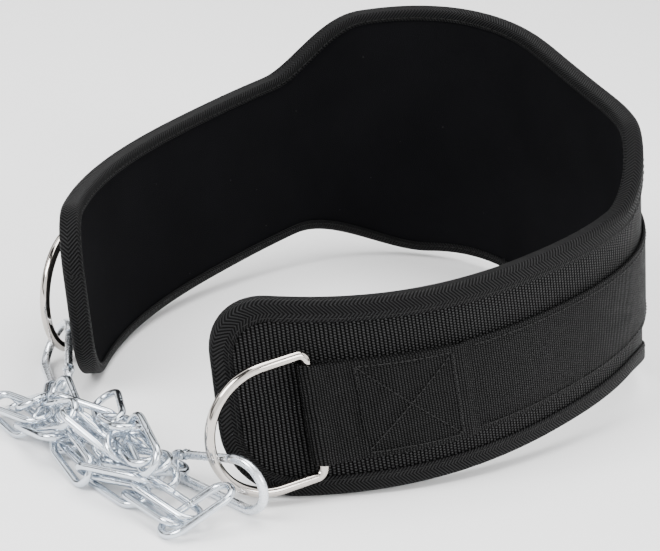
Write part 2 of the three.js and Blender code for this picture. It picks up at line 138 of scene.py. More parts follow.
# Threads: distance from stitch to stitch, length of a stitch and radius of the thread
TAPE_THREAD = {"pitch": 4.2, "length": 3.2, "radius": 0.24}
STRAP_THREAD = {"pitch": 3.6, "length": 2.9, "radius": 0.3}
STITCH_ARCH = (-0.15, 0.12, 0.2, 0.12, -0.15)
STITCH_SIDES = 5
STITCH_WANDER = 0.06
THREAD_DEPTH = 0.1

# Seams of the strap
SEAM_INSET = 3.0
BOX_FROM_BAR = 22.0
BOX_FROM_TAIL = 2.0
LONG_SEAM_END = 10.0
LONG_SEAM_POINTS = 220
CROSS_SEAMS = (118.0, -118.0, 122.0, -122.0)

# Heading of the belt in plan at even shares of its length, in radians, left tip first. These, how
# the belt stands and its two ends were found by a fit against the photo.
HEADINGS = [
    2.58, 2.43, 2.256, 2.088, 1.958, 1.874, 1.744, 1.465, 0.985, 0.338, -0.14, -0.198, -0.226,
    -0.612, -1.081, -1.307, -1.397, -1.528, -1.705, -1.893, -2.056,
]

# How the belt stands: lean of its wall in degrees at the middle and its change with the share of
# the half length and with that squared, the tip forwards and sideways, and the rise of its ends
LEAN = (3.54, -6.89, -11.43)
FORWARD = math.radians(16.63)
SIDEWAYS = math.radians(-2.83)
TIP_LIFT = 60.0

# The strap's ends: place of the ring's bar on the belt, slant of the strap there as a share of the
# height, swing of the ring in radians, and the hook's row, which reads like those of CHAIN_LAY
ENDS = [
    {
        "name": "right",
        "side": 1,
        "bar_at": 377.5,
        "slant": 0.023,
        "swing": 0.151,
        "hook": (156, -313.6, 11.9, 12.9, -9.3, 103.5),
    },
    {
        "name": "left",
        "side": -1,
        "bar_at": 343.6,
        "slant": -0.028,
        "swing": 0.141,
        "hook": (23.1, -316.3, 12.2, 153.9, -6.4, 111.6),
    },
]

# How the links lie: x, y, height above the floor, then heading, dip and roll in degrees. The rows
# came out of a simulation of the chain.
CHAIN_LAY = [
    (54.2, -335.1, 6.5, -33.6, 6.8, -26.9),
    (78.8, -346, 4.5, -16.5, 0, 20.5),
    (106.8, -351.6, 4.7, -4.8, 0, -22.6),
    (135.4, -351.1, 4.5, 4.9, -0.1, 20.8),
    (163.4, -348.9, 4.5, 5.7, 0, -21.5),
    (181.8, -339.5, 11.3, 84.9, -30.3, -5.3),
    (165.8, -344.6, 10.7, 18.2, 10.1, -3.8),
    (141.3, -357.3, 12.3, 24.8, -8.4, -41),
    (111.4, -361.4, 10, -6, 7.8, 72.3),
    (82.6, -360.5, 9.6, -5.7, -14, -5),
    (54.9, -359.9, 5.9, -1.8, 0, 34.6),
    (56.7, -355, 11.5, -15.9, -28.1, 24.3),
    (61.8, -361.6, 12.7, 14.1, -5.2, 10.8),
    (89.7, -359.3, 20, 0.8, -28.2, 57.3),
    (116.9, -353.9, 21.7, 24.5, 20.9, -13.6),
    (142.9, -348, 19.5, 19.2, -14.5, 21.8),
    (139.4, -341.9, 16.9, 50.2, 27.4, 30.7),
    (142.9, -347.8, 25.4, -17.2, -6.4, 16.3),
    (148.5, -349.4, 30.1, -14.8, 8.6, 70.8),
    (118.9, -342.6, 26.9, -19.5, -17.1, -0.9),
    (96.1, -333.9, 21.7, -27.1, -3.9, 38.4),
    (83.9, -337.9, 16.5, 30.9, 2.1, -54),
    (69.6, -339.9, 14.2, -16.7, 8.8, 65.1),
    (93.5, -340.2, 11.1, 25.6, 12.2, 7.5),
    (107.5, -343, 12.1, 88.8, 33.1, 9.5),
    (120.8, -335.9, 9.3, 27.7, 10.8, 49.5),
    (133.1, -332, 9.2, 87.9, 8.4, -1.1),
]

# Smoothness
STATION_STEP = 3.0
STRAP_STEP = 4.0
STRAP_END_STEP = 3.0
PLAN_STEP = 0.5
LAYER_ROWS = 20
CORNER_STEPS = 14
WIRE_SIDES = 20
LINK_SIDES = 14
PIN_SIDES = 24
RING_FILLET_STEPS = 8
RING_BOW_STEPS = 48
HOOK_NECK_STEPS = 20
HOOK_BOW_STEPS = 36
LINK_TURN_STEPS = 10

# Angles
HALF_TURN = math.pi
QUARTER_TURN = math.pi / 2


def smooth_step(t):
    """0 to 1 with a soft start and end."""
    t = np.clip(t, 0, 1)
    return t * t * (3 - 2 * t)


def heading(s):
    """Heading in plan, smooth through the even shares of HEADINGS."""
    rows = np.array([2 * HEADINGS[0] - HEADINGS[1], *HEADINGS, 2 * HEADINGS[-1] - HEADINGS[-2]])
    last = len(HEADINGS) - 1
    at = np.clip((np.asarray(s) / HALF_LENGTH + 1) / 2, 0, 1) * last
    i = np.minimum(last - 1, np.floor(at)).astype(int)
    t = at - i
    a, b, c, d = rows[i], rows[i + 1], rows[i + 2], rows[i + 3]
    slope_a, slope_b, rise = (c - a) / 2, (d - b) / 2, c - b
    return (
        b + slope_a * t + (3 * rise - 2 * slope_a - slope_b) * t**2
        + (slope_a + slope_b - 2 * rise) * t**3
    )


def plan_line():
    """The belt's middle line in plan: s, x and y at even steps, with 0 at the middle of the back."""
    s = np.arange(-HALF_LENGTH, HALF_LENGTH + PLAN_STEP / 2, PLAN_STEP)
    middle = heading(s[:-1] + PLAN_STEP / 2)
    x = np.concatenate([[0], np.cumsum(np.cos(middle)) * PLAN_STEP])
    y = np.concatenate([[0], np.cumsum(np.sin(middle)) * PLAN_STEP])
    return s, x - np.interp(0, s, x), y - np.interp(0, s, y)


PLAN_S, PLAN_X, PLAN_Y = plan_line()


def turned(a, b, angle):
    """A point (a, b) turned about the origin."""
    return a * math.cos(angle) - b * math.sin(angle), a * math.sin(angle) + b * math.cos(angle)


def on_belt(s, v, off):
    """Points of the belt, in metres in the CAD's frame."""
    s, v, off = np.broadcast_arrays(*(np.asarray(a, float) for a in (s, v, off)))
    u = s / HALF_LENGTH
    psi = heading(s)
    lean = np.radians(LEAN[0] + LEAN[1] * u + LEAN[2] * u * u)
    out = off * np.cos(lean) + v * np.sin(lean)
    z = v * np.cos(lean) - off * np.sin(lean) + TIP_LIFT * u * u
    x = np.interp(s, PLAN_S, PLAN_X) - np.sin(psi) * out
    y = np.interp(s, PLAN_S, PLAN_Y) + np.cos(psi) * out
    y, z = turned(y, z, FORWARD)
    z, x = turned(z, x, -SIDEWAYS)
    return (np.stack([x, y, z], -1) + ORIGIN) / 1000


def half_stations():
    """Places of the cross-sections from the middle of the back to one end, closer in the corner."""
    straight_end = HALF_LENGTH - CORNER_RADIUS
    count = round(straight_end / STATION_STEP)
    corner = [math.sin(k / CORNER_STEPS * QUARTER_TURN) for k in range(1, CORNER_STEPS + 1)]
    return [straight_end * k / count for k in range(count + 1)] + [
        straight_end + CORNER_RADIUS * c for c in corner
    ]


def edges(s):
    """Height of the belt's top and bottom edge at s."""
    a = abs(s)
    top = 1 - smooth_step((a - TOP_WIDE_HALF) / (FLARE_END - TOP_WIDE_HALF))
    bottom = 1 - smooth_step((a - BOTTOM_WIDE_HALF) / (FLARE_END - BOTTOM_WIDE_HALF))
    into = max(0.0, a - (HALF_LENGTH - CORNER_RADIUS))
    cut = CORNER_RADIUS - math.sqrt(max(0.0, CORNER_RADIUS**2 - into**2))
    return (
        WING_RISE + (BACK_RISE - WING_RISE) * top - cut,
        -(WING_DROP + (BACK_DROP - WING_DROP) * bottom - cut),
    )


def all_stations():
    """Places of the cross-sections from end to end."""
    half = half_stations()
    return [-s for s in half[:0:-1]] + half


STATIONS = all_stations()
OUTLINE = [(s, edges(s)[0]) for s in STATIONS] + [(s, edges(s)[1]) for s in STATIONS[::-1]]


def inset(distance):
    """The outline moved inwards by a distance."""
    count = len(OUTLINE)
    moved = []
    for i, point in enumerate(OUTLINE):
        before, after = OUTLINE[i - 1], OUTLINE[(i + 1) % count]
        if abs(point[0]) < HALF_LENGTH - CORNER_RADIUS + 0.1:
            slope = (after[1] - before[1]) / (after[0] - before[0])
            shift = math.copysign(distance * math.hypot(1, slope), point[1])
            moved.append((point[0], point[1] - shift))
            continue
        normals = []
        for a, b in ((before, point), (point, after)):
            length = math.hypot(b[0] - a[0], b[1] - a[1])
            normals.append(((b[1] - a[1]) / length, -(b[0] - a[0]) / length))
        (ax, ay), (bx, by) = normals
        scale = distance / (1 + ax * bx + ay * by)
        moved.append((point[0] + (ax + bx) * scale, point[1] + (ay + by) * scale))
    return np.array(moved)


def add_object(name, points, faces, uvs=None, sharp=None, body="belt"):
    """A new piece from points in metres, faces and one UV per face corner."""
    mesh = bpy.data.meshes.new(name)
    mesh.from_pydata([tuple(p) for p in points], [], [tuple(int(i) for i in f) for f in faces])
    if uvs is not None:
        layer = mesh.uv_layers.new(name="UVMap")
        layer.data.foreach_set("uv", np.asarray(uvs, float).ravel())
    mesh.polygons.foreach_set("use_smooth", [True] * len(mesh.polygons))
    if sharp is not None:
        mesh.set_sharp_from_angle(angle=math.radians(sharp))
    mesh.update()
    obj = bpy.data.objects.new(name, mesh)
    bpy.context.scene.collection.objects.link(obj)
    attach(obj, body)
    return obj


def loft(sections, along, across, closed):
    """Points, faces and corner UVs of a skin over sections of equal size."""
    count, size = sections.shape[:2]
    faces, uvs = [], []
    for i in range(count if closed else count - 1):
        j = (i + 1) % count
        for k in range(size):
            m = (k + 1) % size
            faces.append((i * size + k, i * size + m, j * size + m, j * size + k))
            u0, u1 = along[i], along[i + 1]
            w0, w1 = across[k], across[k + 1]
            uvs += [(u0, w0), (u0, w1), (u1, w1), (u1, w0)]
    if not closed:
        for start, order in ((0, 1), ((count - 1) * size, -1)):
            ring = [start + k for k in range(size)][::-order]
            faces.append(tuple(ring))
            uvs += [(0, 0)] * size
    return sections.reshape(-1, 3), faces, uvs


def lengths(points, closed):
    """Distance run along a line of points, in millimetres, one more than the points if closed."""
    line = np.vstack([points, points[:1]]) if closed else points
    steps = np.linalg.norm(np.diff(line, axis=0), axis=1) * 1000
    return np.concatenate([[0], np.cumsum(steps)])


def slab(name, off_low, off_high):
    """A layer of cloth or foam inside the tape's fold, between two distances from the middle."""
    rim = inset(TAPE_THICKNESS + LAYER_GAP)
    rows = LAYER_ROWS
    count = len(STATIONS)
    top, bottom = rim[:count], rim[count:][::-1]
    share = np.linspace(0, 1, rows + 1)[None, :, None]
    grid = bottom[:, None, :] * (1 - share) + top[:, None, :] * share
    flat = grid.reshape(-1, 2)
    points = np.vstack([on_belt(flat[:, 0], flat[:, 1], off) for off in (off_high, off_low)])
    width = rows + 1
    back = count * width
    faces = []
    for i in range(count - 1):
        for j in range(rows):
            a = i * width + j
            b, c, d = a + width, a + width + 1, a + 1
            faces += [(a, b, c, d), (back + a, back + d, back + c, back + b)]
    border = [i * width for i in range(count)]
    border += [(count - 1) * width + j for j in range(1, width)]
    border += [i * width + rows for i in range(count - 2, -1, -1)]
    border += [j for j in range(rows - 1, 0, -1)]
    for a, b in zip(border, border[1:] + border[:1]):
        faces.append((b, a, back + a, back + b))
    both_sides = np.vstack([flat, flat])
    uvs = [both_sides[i] for face in faces for i in face]
    return add_object(name, points, faces, uvs, sharp=40)


def binding(name):
    """The folded tape: wide leg outside, narrow leg inside, with a round fold."""
    inside = TAPE_THICKNESS + FOLD_CLEAR
    turn = [k * QUARTER_TURN / FOLD_STEPS for k in range(FOLD_STEPS + 1)]
    fold = [
        (FOLD_RADIUS - FOLD_RADIUS * math.sin(t), TAPE_TOP - FOLD_RADIUS + FOLD_RADIUS * math.cos(t))
        for t in turn
    ]
    section = [
        (TAPE_OUTER_WIDTH - LEG_CLEAR, TAPE_FACE + LEG_CLEAR),
        (TAPE_OUTER_WIDTH, TAPE_FACE + EDGE_LOW),
        (TAPE_OUTER_WIDTH - OUTER_EDGE_ROUND, TAPE_TOP),
        (TAPE_OUTER_WIDTH - SEAM_FROM_EDGE, TAPE_TOP - SEAM_DEPTH),
        (TAPE_OUTER_WIDTH - SEAM_END, TAPE_TOP),
        (LEG_SWELL_FROM, TAPE_TOP + LEG_SWELL),
        *fold,
        *[(d, -off) for d, off in fold[::-1]],
        (TAPE_INNER_WIDTH - SEAM_FROM_EDGE, -TAPE_TOP + SEAM_DEPTH),
        (TAPE_INNER_WIDTH - INNER_EDGE_ROUND, -TAPE_TOP),
        (TAPE_INNER_WIDTH, -TAPE_FACE - EDGE_LOW),
        (TAPE_INNER_WIDTH - LEG_CLEAR, -TAPE_FACE - LEG_CLEAR),
        (inside, -TAPE_FACE - LEG_CLEAR),
        (inside, TAPE_FACE + LEG_CLEAR),
    ]
    lines = [inset(d) for d, _ in section]
    sections = np.stack(
        [on_belt(line[:, 0], line[:, 1], off) for line, (_, off) in zip(lines, section)], axis=1
    )
    along = lengths(sections[:, PATTERN_POINT], True)
    steps = [0.0]
    for a, b in zip(section, section[1:] + section[:1]):
        steps.append(steps[-1] + math.hypot(b[0] - a[0], b[1] - a[1]))
    points, faces, uvs = loft(sections, along, steps, True)
    return add_object(name, points, faces, uvs, sharp=50)


# The strap's two layers at its ends, and the loop round the ring's bar
LOWER_LAYER = CORE_HALF + STRAP_GAP + STRAP_THICKNESS / 2
UPPER_LAYER = LOWER_LAYER + STRAP_THICKNESS + LAYER_GAP
BAR_OFF = LOWER_LAYER + STRAP_THICKNESS / 2 + STRAP_GAP + RING_WIRE / 2
LOOP_RADIUS = BAR_OFF - LOWER_LAYER
LOOP_LENGTH = 20.0
LOOP_SWELL = 2.0
LOOP_TURN = math.radians(125)
LOOP_STEPS = 18
LOOP_DOWN = (0.35, 0.7)
LOOP_BACK_FROM = 0.55
LOOP_BACK_STEP = 0.09
LOOP_BACK_ROWS = 6
RUN_START = 1.5
RUN_END = 1.0
TAIL_OVERLAP = 2.0
TAIL_TAPER = 3.0


def swell(behind):
    """How far the strap stands off its lower layer, from the bar to the box stitch."""
    share = min(1.0, max(0.0, behind / LOOP_LENGTH))
    return LOOP_SWELL * (1 - share**4)


def strap_end(bar_at):
    """Side view of one strap end in s and off, from the tail's end round the bar."""
    tail_end = bar_at - STRAP_TAIL

    def between(low, high):
        return list(np.arange(low + RUN_START, high - RUN_END, STRAP_END_STEP))

    path = [(tail_end, LOWER_LAYER)] + [(s, LOWER_LAYER) for s in between(tail_end, bar_at)]
    for k in range(LOOP_STEPS + 1):
        angle = -QUARTER_TURN + (LOOP_TURN + QUARTER_TURN) * k / LOOP_STEPS
        path.append((bar_at + LOOP_RADIUS * math.cos(angle), BAR_OFF + LOOP_RADIUS * math.sin(angle)))
    s, off = path[-1]
    foot = s + (off - UPPER_LAYER) * math.sin(LOOP_TURN) / math.cos(LOOP_TURN)
    foot_off = UPPER_LAYER + swell(bar_at - foot)
    for share in LOOP_DOWN:
        path.append((s + (foot - s) * share, off + (foot_off - off) * share))
    path.append((foot, foot_off))
    shares = [LOOP_BACK_FROM + LOOP_BACK_STEP * k for k in range(LOOP_BACK_ROWS)]
    loop = [bar_at - LOOP_LENGTH * share for share in shares]
    path += [(at, UPPER_LAYER + swell(bar_at - at)) for at in loop]
    path += [(at, UPPER_LAYER) for at in between(tail_end - TAIL_OVERLAP, loop[-1])[::-1]]
    levels = (UPPER_LAYER, (UPPER_LAYER + LOWER_LAYER) / 2, LOWER_LAYER)
    path += [(tail_end - TAIL_TAPER * (k + 1), level) for k, level in enumerate(levels)]
    return path


def slant_share(s, end):
    """How much of its slant towards the ring the strap has at s, from 0 at the tail to 1."""
    return smooth_step((abs(s) - end["bar_at"] + STRAP_TAIL) / (STRAP_TAIL - SLANT_END))


def strap(name):
    """The main strap: round the right ring's bar, along the belt and round the left ring's bar."""
    right, left = ENDS
    right_end = strap_end(right["bar_at"])
    left_end = [(-s, off) for s, off in strap_end(left["bar_at"])][::-1]
    places = np.arange(right_end[-1][0] - TAIL_TAPER, left_end[0][0] + TAIL_OVERLAP, -STRAP_STEP)
    path = np.array(right_end + [(s, LOWER_LAYER) for s in places] + left_end)
    half = STRAP_WIDTH / 2
    thick = STRAP_THICKNESS / 2
    edge = STRAP_EDGE_LEVEL
    levels = [half - STRAP_EDGE_ROUND, half / 2, 0, -half / 2, -half + STRAP_EDGE_ROUND]
    section = [(1, v) for v in levels] + [(edge, -half), (-edge, -half)]
    section += [(-1, v) for v in levels[::-1]] + [(-edge, half), (edge, half)]
    tangents = np.diff(path, axis=0)
    tangents /= np.linalg.norm(tangents, axis=1)[:, None]
    normals = np.stack([-tangents[:, 1], tangents[:, 0]], -1)
    first = np.vstack([normals[:1], normals])
    second = np.vstack([normals, normals[-1:]])
    scale = thick / (1 + (first * second).sum(1))
    to_face = (first + second) * scale[:, None]
    sections = []
    for (s, off), move in zip(path, to_face):
        end = right if s > 0 else left
        share = slant_share(s, end)
        row = []
        for sign, level in section:
            v = STRAP_HEIGHT + level
            slant = end["side"] * end["slant"] * share * (level + RING_SAG)
            row.append((s + sign * move[0] + slant, v, off + sign * move[1]))
        sections.append(row)
    sections = np.array(sections)
    points = on_belt(sections[..., 0], sections[..., 1], sections[..., 2])
    run = np.concatenate([[0], np.cumsum(np.linalg.norm(np.diff(path, axis=0), axis=1))])
    steps = [0.0]
    for p, q in zip(section, section[1:] + section[:1]):
        steps.append(steps[-1] + math.hypot((q[0] - p[0]) * thick, q[1] - p[1]))
    points, faces, uvs = loft(points, run, steps, False)
    return add_object(name, points, faces, uvs, sharp=50)


def wire(path, diameters, sides, closed):
    """Sections of a round wire along a flat path, in millimetres in its own plane."""
    path = np.asarray(path, float)
    count = len(path)
    diameters = np.broadcast_to(np.asarray(diameters, float), count)
    after = np.roll(path, -1, 0)
    before = np.roll(path, 1, 0)
    if not closed:
        after[-1] = path[-1]
        before[0] = path[0]

    def outwards(steps):
        length = np.linalg.norm(steps, axis=1)
        length[length == 0] = 1
        return np.stack([steps[:, 1] / length, -steps[:, 0] / length], -1)

    out = outwards(path - before) + outwards(after - path)
    out /= np.linalg.norm(out, axis=1)[:, None]
    angle = (np.arange(sides) + 0.5) * 2 * math.pi / sides
    flat = np.cos(angle)[None, :, None] * out[:, None, :] * diameters[:, None, None] / 2
    up = np.broadcast_to(np.sin(angle)[None, :] * diameters[:, None] / 2, (count, sides))
    return np.concatenate([path[:, None, :] + flat, up[..., None]], -1)


def arc(x, y, radius, start, end, steps):
    """Points of an arc about (x, y)."""
    return [
        (
            x + radius * math.cos(start + (end - start) * k / steps),
            y + radius * math.sin(start + (end - start) * k / steps),
        )
        for k in range(steps + 1)
    ]


def placed(sections, matrix):
    """Sections moved by a 4x4 matrix in millimetres, as metres."""
    flat = sections.reshape(-1, 3) @ matrix[:3, :3].T + matrix[:3, 3]
    return (flat / 1000).reshape(sections.shape)


def add_metal(name, chunks, matrix, body, slot, node):
    """One object from chunks of (sections, closed) or (points, faces)."""
    points, faces, base = [], [], 0
    for chunk, kind in chunks:
        if isinstance(kind, bool):
            block = placed(chunk, matrix)
            along, across = [0] * (len(block) + 1), [0] * (block.shape[1] + 1)
            chunk_points, chunk_faces, _ = loft(block, along, across, kind)
        else:
            chunk_points, chunk_faces = placed(np.asarray(chunk, float), matrix), kind
        points.append(chunk_points)
        faces += [tuple(i + base for i in face) for face in chunk_faces]
        base += len(chunk_points)
    obj = add_object(name, np.vstack(points), faces, sharp=35, body=body)
    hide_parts(node)
    return obj


def rotation_zyx(turn, dip, roll):
    """The rotation that three.js writes as Euler(roll, dip, turn, "ZYX")."""
    cz, sz = math.cos(turn), math.sin(turn)
    cy, sy = math.cos(dip), math.sin(dip)
    cx, sx = math.cos(roll), math.sin(roll)
    rz = np.array([[cz, -sz, 0], [sz, cz, 0], [0, 0, 1]])
    ry = np.array([[cy, 0, sy], [0, 1, 0], [-sy, 0, cy]])
    rx = np.array([[1, 0, 0], [0, cx, -sx], [0, sx, cx]])
    return rz @ ry @ rx


def lay_matrix(row):
    """Place of a hook or link from its row: x, y, height, then heading, dip and roll in degrees."""
    x, y, height, turn, dip, roll = row
    matrix = np.eye(4)
    matrix[:3, :3] = rotation_zyx(math.radians(turn), math.radians(dip), math.radians(roll))
    matrix[:3, 3] = (x + ORIGIN[0], y + ORIGIN[1], height)
    return matrix


def unit(v):
    """The vector at length 1."""
    return v / np.linalg.norm(v)


def ring_matrix(end):
    """Place of a ring: its bar in the strap's loop, its bow swung outwards."""
    side = end["side"]

    def on_bar(v):
        s = side * (end["bar_at"] + end["slant"] * (v - STRAP_HEIGHT + RING_SAG))
        return on_belt(s, v, BAR_OFF) * 1000

    low = on_bar(STRAP_HEIGHT - STRAP_WIDTH / 2)
    high = on_bar(STRAP_HEIGHT + STRAP_WIDTH / 2)
    bar = unit(high - low)
    origin = (low + high) / 2 - RING_SAG * bar
    middle = on_belt(side * end["bar_at"], STRAP_HEIGHT, BAR_OFF) * 1000
    off = on_belt(side * end["bar_at"], STRAP_HEIGHT, BAR_OFF + 1) * 1000 - middle
    bow = unit(np.cross(off, bar) * side)
    off = np.cross(bar, bow) * side
    bow = bow * math.cos(end["swing"]) + off * math.sin(end["swing"])
    matrix = np.eye(4)
    matrix[:3, 0], matrix[:3, 1], matrix[:3, 2] = bow, bar, np.cross(bow, bar)
    matrix[:3, 3] = origin
    return matrix


def ring_chunks():
    """A D-ring: straight bar, two rounded corners and a round bow."""
    half = STRAP_WIDTH / 2 + RING_SIDE_GAP + RING_WIRE / 2
    inner = half - RING_FILLET
    path = [
        *arc(RING_FILLET, -inner, RING_FILLET, -HALF_TURN, -QUARTER_TURN, RING_FILLET_STEPS),
        *arc(RING_LEG, 0, half, -QUARTER_TURN, QUARTER_TURN, RING_BOW_STEPS),
        *arc(RING_FILLET, inner, RING_FILLET, QUARTER_TURN, HALF_TURN, RING_FILLET_STEPS),
    ]
    return [(wire(path, RING_WIRE, WIRE_SIDES, True), True)]


HOOK_WIDE_RADIUS = (HOOK_WIDTH - HOOK_WIRE) / 2
HOOK_NECK_RADIUS = (HOOK_NECK - HOOK_WIRE) / 2
HOOK_SPAN = HOOK_LENGTH - HOOK_WIRE - HOOK_WIDE_RADIUS - HOOK_NECK_RADIUS
HOOK_TAPER = math.asin((HOOK_WIDE_RADIUS - HOOK_NECK_RADIUS) / HOOK_SPAN)
GATE_LINE_LENGTH = HOOK_SPAN * math.cos(HOOK_TAPER)


def gate_line(distance):
    """A point of the hook's straight open side, at a distance from its neck."""
    angle = QUARTER_TURN + HOOK_TAPER
    x = -HOOK_SPAN / 2 + HOOK_NECK_RADIUS * math.cos(angle)
    y = HOOK_NECK_RADIUS * math.sin(angle)
    return (x + distance * math.cos(HOOK_TAPER), y + distance * math.sin(HOOK_TAPER))


def cross_bar(at, diameters, heights):
    """A turned piece across the hook's plane: diameters at heights, with closed ends."""
    angle = np.arange(PIN_SIDES) * 2 * math.pi / PIN_SIDES
    rows = []
    for diameter, height in zip(diameters, heights):
        x = at[0] + np.cos(angle) * diameter / 2
        y = at[1] + np.sin(angle) * diameter / 2
        rows.append(np.stack([x, y, np.full(PIN_SIDES, height)], -1))
    return (np.stack(rows), False)


def plate(low, high, width, thickness):
    """A flat bar along the hook's open side, between two distances from its neck."""
    corners = []
    for z in (-thickness / 2, thickness / 2):
        for along, side in ((low, -1), (high, -1), (high, 1), (low, 1)):
            x, y = gate_line(along)
            x -= side * width / 2 * math.sin(HOOK_TAPER)
            y += side * width / 2 * math.cos(HOOK_TAPER)
            corners.append((x, y, z))
    faces = [(3, 2, 1, 0), (4, 5, 6, 7), (0, 1, 5, 4), (1, 2, 6, 5), (2, 3, 7, 6), (3, 0, 4, 7)]
    return (np.array(corners), faces)


def hook_chunks():
    """A snap hook's body: bent wire, tongue at the neck, and a rivet through it."""
    nose = GATE_LINE_LENGTH - NOSE_LENGTH
    side = QUARTER_TURN + HOOK_TAPER
    neck_end = 3 * QUARTER_TURN - HOOK_TAPER
    path = [
        *arc(-HOOK_SPAN / 2, 0, HOOK_NECK_RADIUS, side, neck_end, HOOK_NECK_STEPS),
        *arc(HOOK_SPAN / 2, 0, HOOK_WIDE_RADIUS, -side, side, HOOK_BOW_STEPS),
    ]
    sizes = [HOOK_WIRE] * len(path)
    path += [gate_line(nose + back) for back, _ in NOSE_TIP]
    sizes += [HOOK_WIRE - thinner for _, thinner in NOSE_TIP]
    pin = gate_line(HINGE_FROM_NECK)
    top = GATE_WIRE / 2 + LAYER_GAP
    head = [diameter for diameter, _ in RIVET_HEAD]
    levels = [top + height for _, height in RIVET_HEAD]
    tongue = TONGUE_THICKNESS / 2
    return [
        (wire(path, sizes, WIRE_SIDES, False), False),
        plate(TONGUE_BACK, HINGE_FROM_NECK, TONGUE_WIDTH, TONGUE_THICKNESS),
        cross_bar(pin, [TONGUE_WIDTH] * 2, (-tongue, tongue)),
        cross_bar(pin, [PIN_DIAMETER] * 2, (-top, top)),
        cross_bar(pin, head, levels),
        cross_bar(pin, head[::-1], [-level for level in levels[::-1]]),
    ]


def gate_chunks():
    """The gate's wire, forked round the hook's tongue at its foot."""
    tip = GATE_LINE_LENGTH - NOSE_LENGTH - NOSE_GAP
    foot = HINGE_FROM_NECK + FOOT_FROM_HINGE
    path = [gate_line(foot + on) for on, _ in GATE_FOOT]
    path += [gate_line(tip - back) for back, _ in GATE_TIP]
    sizes = [GATE_WIRE - thinner for _, thinner in GATE_FOOT + GATE_TIP]
    chunks = [(wire(path, sizes, WIRE_SIDES, False), False)]
    pin = gate_line(HINGE_FROM_NECK)
    for low, high in ((FORK_INSIDE, FORK_OUTSIDE), (-FORK_OUTSIDE, -FORK_INSIDE)):
        chunks.append(cross_bar(pin, [EYE_DIAMETER] * 2, (low, high)))
        points, faces = plate(HINGE_FROM_NECK, foot + FORK_OVERLAP, FORK_WIDTH, high - low)
        points[:, 2] += (low + high) / 2
        chunks.append((points, faces))
    return chunks


def link_chunks():
    """A link with a small weld swelling between two nicks at the middle of one side."""
    radius = (LINK_WIDTH - LINK_WIRE) / 2
    centre = (LINK_LENGTH - LINK_WIDTH) / 2
    first = arc(centre, 0, radius, -QUARTER_TURN, QUARTER_TURN, LINK_TURN_STEPS)
    second = arc(-centre, 0, radius, QUARTER_TURN, 3 * QUARTER_TURN, LINK_TURN_STEPS)
    path = first + [(x, radius) for x, _ in WELD] + second
    sizes = [LINK_WIRE] * len(first)
    sizes += [LINK_WIRE * share for _, share in WELD]
    sizes += [LINK_WIRE] * len(second)
    return [(wire(path, sizes, LINK_SIDES, True), True)]


def stitches(name, runs, pitch, length, radius, slot):
    """Short arched threads along runs of (points, outward normals) in metres."""
    points, faces = [], []
    sides = STITCH_SIDES
    rows = len(STITCH_ARCH)
    rise = np.array(STITCH_ARCH) / 1000
    for line, normals in runs:
        at = lengths(line, False)
        count = max(1, int(at[-1] // pitch))
        start = (at[-1] - count * pitch + pitch) / 2
        for i in range(count):
            centre = start + (i + random.uniform(-STITCH_WANDER, STITCH_WANDER)) * pitch
            where = np.clip(centre + np.linspace(-0.5, 0.5, rows) * length, 0, at[-1])
            spine = np.stack([np.interp(where, at, line[:, k]) for k in range(3)], -1)
            normal = np.stack([np.interp(where, at, normals[:, k]) for k in range(3)], -1)
            normal /= np.linalg.norm(normal, axis=1)[:, None]
            along = unit(spine[-1] - spine[0] + 1e-9)
            side = np.cross(along, normal)
            spine = spine + normal * rise[:, None]
            base = len(points)
            for middle, out, over in zip(spine, normal, side):
                for k in range(sides):
                    angle = 2 * math.pi * k / sides
                    reach = out * math.cos(angle) + over * math.sin(angle)
                    points.append(middle + reach * radius / 1000)
            for row in range(rows - 1):
                for k in range(sides):
                    m = (k + 1) % sides
                    a = base + row * sides
                    faces.append((a + k, a + m, a + sides + m, a + sides + k))
            faces.append(tuple(base + k for k in range(sides))[::-1])
            faces.append(tuple(base + (rows - 1) * sides + k for k in range(sides)))
    return add_object(name, points, faces)


def belt_run(pairs, off, outward=1):
    """A run over points (s, v) at one off, with its outward normals."""
    pairs = np.asarray(pairs, float)
    line = on_belt(pairs[:, 0], pairs[:, 1], off)
    beyond = on_belt(pairs[:, 0], pairs[:, 1], off + outward)
    return line, beyond - line


def straight(a, b, count=30):
    """Even points from a to b."""
    share = np.linspace(0, 1, count)[:, None]
    return np.array(a) * (1 - share) + np.array(b) * share


# Pieces

pad = slab("pad", -CORE_HALF, PAD_THICKNESS - CORE_HALF)
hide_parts("lining_pad")
shell = slab("shell", CORE_HALF - SHELL_THICKNESS, CORE_HALF)
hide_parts("outer_shell")
tape = binding("tape")
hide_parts("edge_binding")
webbing = strap("webbing")
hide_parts("main_strap")

rings, hooks, gates, links = [], [], [], []
for end in ENDS:
    side_name = end["name"]
    gate_body = "gate_" + side_name + "_body"
    lay = lay_matrix(end["hook"])
    ring = ring_chunks(), ring_matrix(end), "belt", "ring_metal", "d_ring_" + side_name
    hook = hook_chunks(), lay, "belt", "hook_metal", "snap_hook_" + side_name
    gate = gate_chunks(), lay, gate_body, "hook_metal", "gate_" + side_name
    rings.append(add_metal("ring_" + side_name, *ring))
    hooks.append(add_metal("hook_" + side_name, *hook))
    gates.append(add_metal("hook_gate_" + side_name, *gate))
for i, row in enumerate(CHAIN_LAY):
    number = f"{i + 1:02d}"
    link = link_chunks(), lay_matrix(row), "belt", "chain_metal", "chain_link_" + number
    links.append(add_metal("link_" + number, *link))


# Stitching


def tape_runs():
    """The tape's seam on the outside and its seam on the inside."""
    runs = []
    for width, side in ((TAPE_OUTER_WIDTH, 1), (TAPE_INNER_WIDTH, -1)):
        line = inset(width - SEAM_FROM_EDGE)
        off = side * (TAPE_TOP - THREAD_DEPTH)
        runs.append(belt_run(np.vstack([line, line[:1]]), off, side))
    return runs


